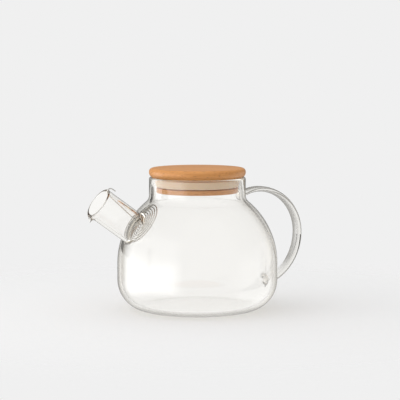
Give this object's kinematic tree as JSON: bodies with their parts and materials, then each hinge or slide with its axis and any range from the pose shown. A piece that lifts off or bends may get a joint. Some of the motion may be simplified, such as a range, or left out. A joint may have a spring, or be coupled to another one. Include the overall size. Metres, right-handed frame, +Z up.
{
  "type": "glass teapot",
  "caption": "Round clear glass teapot with a straight tube spout, strap handle, bamboo lid with a silicone seal, and a spiral wire strainer hooked into the spout.",
  "frame": {"origin": "middle of the flat base, where the pot's axis meets the table", "axes": "+Z up along the pot's axis, -X towards the spout, +X towards the handle"},
  "size_m": [0.1971, 0.136, 0.1209],
  "materials": {
    "borosilicate_glass": "clear, blown and fire-polished",
    "bamboo": "turned, sanded and oiled",
    "silicone": "satin, slightly translucent",
    "steel_wire": "bright drawn stainless wire"
  },
  "bodies": {
    "pot": {"glass_body": "borosilicate_glass", "glass_spout": "borosilicate_glass", "glass_handle": "borosilicate_glass"},
    "seal": {"silicone_seal": "silicone"},
    "lid": {"bamboo_lid": "bamboo"},
    "strainer": {"spring_strainer": "steel_wire"}
  },
  "joints": [
    {"name": "lid_lift", "type": "slide", "parent": "pot", "child": "seal", "axis": [0, 0, 1], "range_m": [0, 0.08]},
    {"name": "lid_turn", "type": "hinge", "parent": "seal", "child": "lid", "pos_m": [0, 0, 0.1132], "axis": [0, 0, 1], "continuous": true},
    {"name": "strainer_turn", "type": "hinge", "parent": "pot", "child": "strainer", "pos_m": [-0.09048, 0, 0.09467], "axis": [-0.8121, 0, 0.5835], "range_deg": [-15, 15]}
  ]
}
